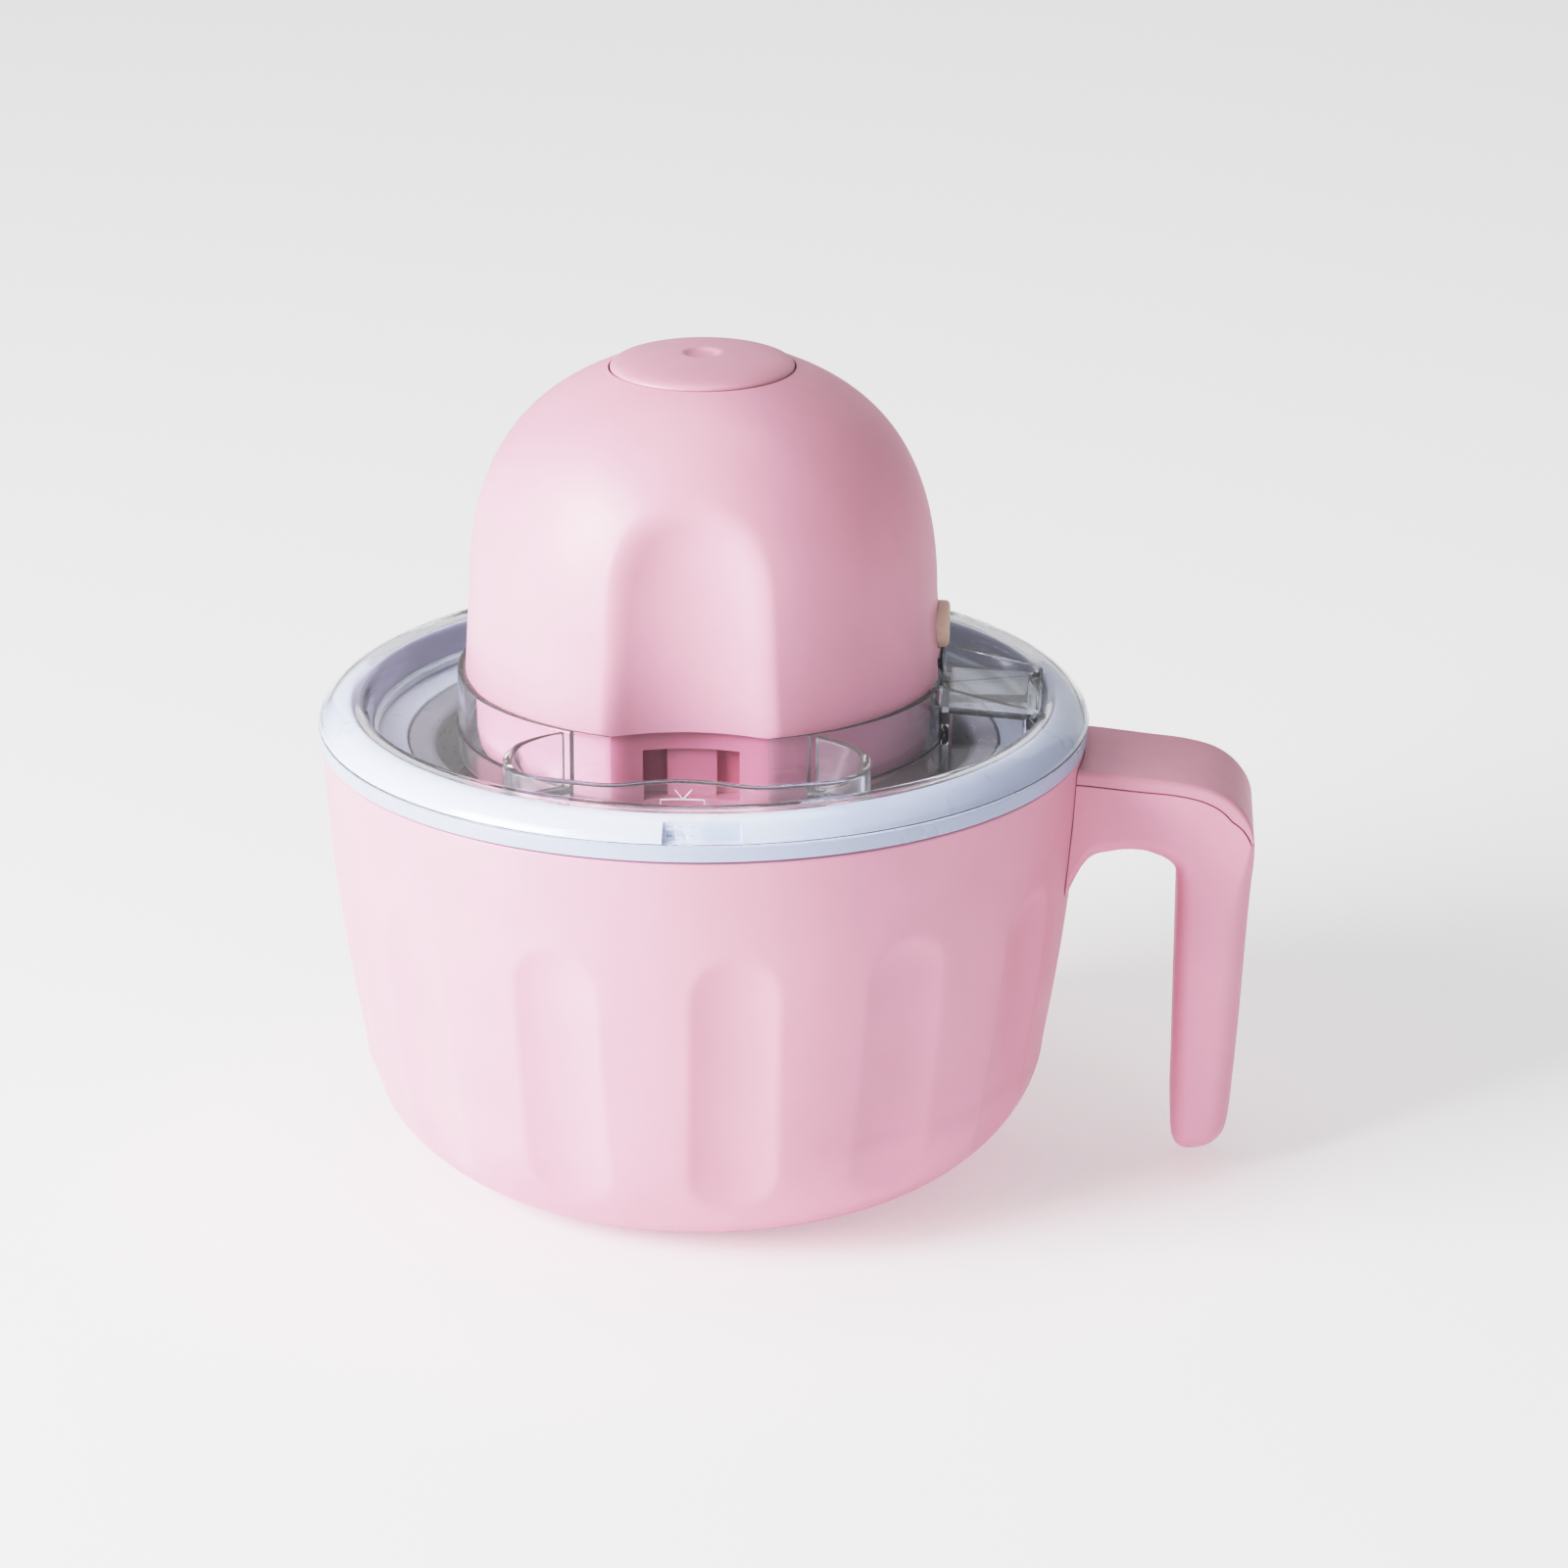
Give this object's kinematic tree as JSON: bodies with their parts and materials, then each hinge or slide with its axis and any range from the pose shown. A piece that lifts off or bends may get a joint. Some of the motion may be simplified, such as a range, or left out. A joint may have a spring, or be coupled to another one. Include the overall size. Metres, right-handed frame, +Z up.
{
  "type": "ice cream maker",
  "caption": "Compact domestic ice cream maker: fluted housing with a side handle, lift-out freezer bowl, clear lid with a filling chute, and a domed motor head that turns the paddle.",
  "frame": {"origin": "middle of the base pad's underside", "axes": "+Z up along the bowl's axis, +X along the handle, the filling chute faces -Y"},
  "size_m": [0.2308, 0.1894, 0.2094],
  "materials": {
    "pink": "satin pink moulded plastic",
    "pink_cap": "satin pink moulded plastic, a shade deeper",
    "band": "pale blue-white plastic with a soft gloss",
    "white": "plain white moulded plastic",
    "grey": "grey moulded plastic",
    "clear": "clear glossy moulded plastic",
    "silicone": "translucent silicone",
    "rubber": "soft black rubber",
    "aluminium": "spun aluminium",
    "gel": "freezing gel",
    "paddle": "milky white plastic",
    "steel": "plated steel",
    "brass": "sintered bronze and brass",
    "nylon": "natural nylon",
    "black": "black plastic",
    "board": "green circuit board",
    "tan": "warm beige soft-touch plastic"
  },
  "bodies": {
    "housing": {"outer_shell": "pink", "inner_sleeve": "white", "base_cover": "grey", "base_screw_1": "steel", "base_screw_2": "steel", "base_screw_3": "steel", "base_pad": "rubber", "handle": "pink", "handle_cap": "pink_cap", "handle_screw_1": "steel", "handle_screw_2": "steel"},
    "freezer_bowl": {"bowl_shell": "white", "fill_plug": "grey", "bowl_rim": "band", "bowl_liner": "aluminium", "coolant_gel": "gel"},
    "stirrer": {"paddle": "paddle"},
    "gasket": {"lid_gasket": "silicone"},
    "lid": {"lid": "clear"},
    "motor_head": {"dome_shell": "pink", "motor_base": "pink", "head_bottom_cover": "white", "head_screw_1": "steel", "head_screw_2": "steel", "head_screw_3": "steel", "shaft_seal": "silicone", "gear_case": "white", "gear_cover": "white", "output_bush": "brass", "gear_axle_1": "steel", "gear_axle_2": "steel", "motor_can": "steel", "motor_end_cap": "black", "motor_screw_1": "steel", "motor_screw_2": "steel", "button_frame": "white", "control_board": "board", "start_switch": "black", "button_spring": "steel", "side_switch": "black", "inlet_board": "board", "dc_inlet": "black"},
    "drive": {"output_gear": "nylon", "output_shaft": "steel", "drive_socket": "nylon"},
    "idler_2": {"idler_gear_2": "nylon"},
    "idler_1": {"idler_gear_1": "nylon"},
    "rotor": {"motor_pinion": "brass", "motor_shaft": "steel"},
    "start_button": {"top_button": "pink_cap"},
    "side_key": {"power_key": "tan"}
  },
  "joints": [
    {"name": "bowl_lift", "type": "slide", "parent": "housing", "child": "freezer_bowl", "axis": [0, 0, 1], "range_m": [0, 0.13]},
    {"name": "paddle_spin", "type": "hinge", "parent": "freezer_bowl", "child": "stirrer", "pos_m": [0, 0, 0.032], "axis": [0, 0, 1], "continuous": true},
    {"name": "lid_lift", "type": "slide", "parent": "freezer_bowl", "child": "gasket", "axis": [0, 0, 1], "range_m": [0, 0.12]},
    {"name": "lid_twist", "type": "hinge", "parent": "gasket", "child": "lid", "pos_m": [0, 0, 0.112], "axis": [0, 0, 1], "range_deg": [0, 6]},
    {"name": "head_lift", "type": "slide", "parent": "lid", "child": "motor_head", "axis": [0, 0, 1], "range_m": [0, 0.12]},
    {"name": "drive_spin", "type": "hinge", "parent": "motor_head", "child": "drive", "pos_m": [0, 0, 0.114], "axis": [0, 0, 1], "continuous": true},
    {"name": "idler_2_spin", "type": "hinge", "parent": "motor_head", "child": "idler_2", "pos_m": [-0.01858, 0, 0.114], "axis": [0, 0, 1], "continuous": true},
    {"name": "idler_1_spin", "type": "hinge", "parent": "motor_head", "child": "idler_1", "pos_m": [-0.01377, 0.01795, 0.12], "axis": [0, 0, 1], "continuous": true},
    {"name": "rotor_spin", "type": "hinge", "parent": "motor_head", "child": "rotor", "pos_m": [0.0051, 0.01108, 0.126], "axis": [0, 0, 1], "continuous": true},
    {"name": "top_button_press", "type": "slide", "parent": "motor_head", "child": "start_button", "axis": [0, 0, -1], "range_m": [0, 0.0018], "stiffness_N_per_m": 900, "springref_m": -0.0012, "deforming": ["button_spring"]},
    {"name": "power_key_press", "type": "slide", "parent": "motor_head", "child": "side_key", "axis": [-1, 0, 0], "range_m": [0, 0.0012], "stiffness_N_per_m": 900, "springref_m": -0.001}
  ],
  "couplings": [
    {"joint": "drive_spin", "follows": "paddle_spin", "ratio": 1},
    {"joint": "idler_2_spin", "follows": "paddle_spin", "ratio": -3.1111},
    {"joint": "idler_1_spin", "follows": "paddle_spin", "ratio": 9.679},
    {"joint": "rotor_spin", "follows": "paddle_spin", "ratio": -38.716}
  ]
}
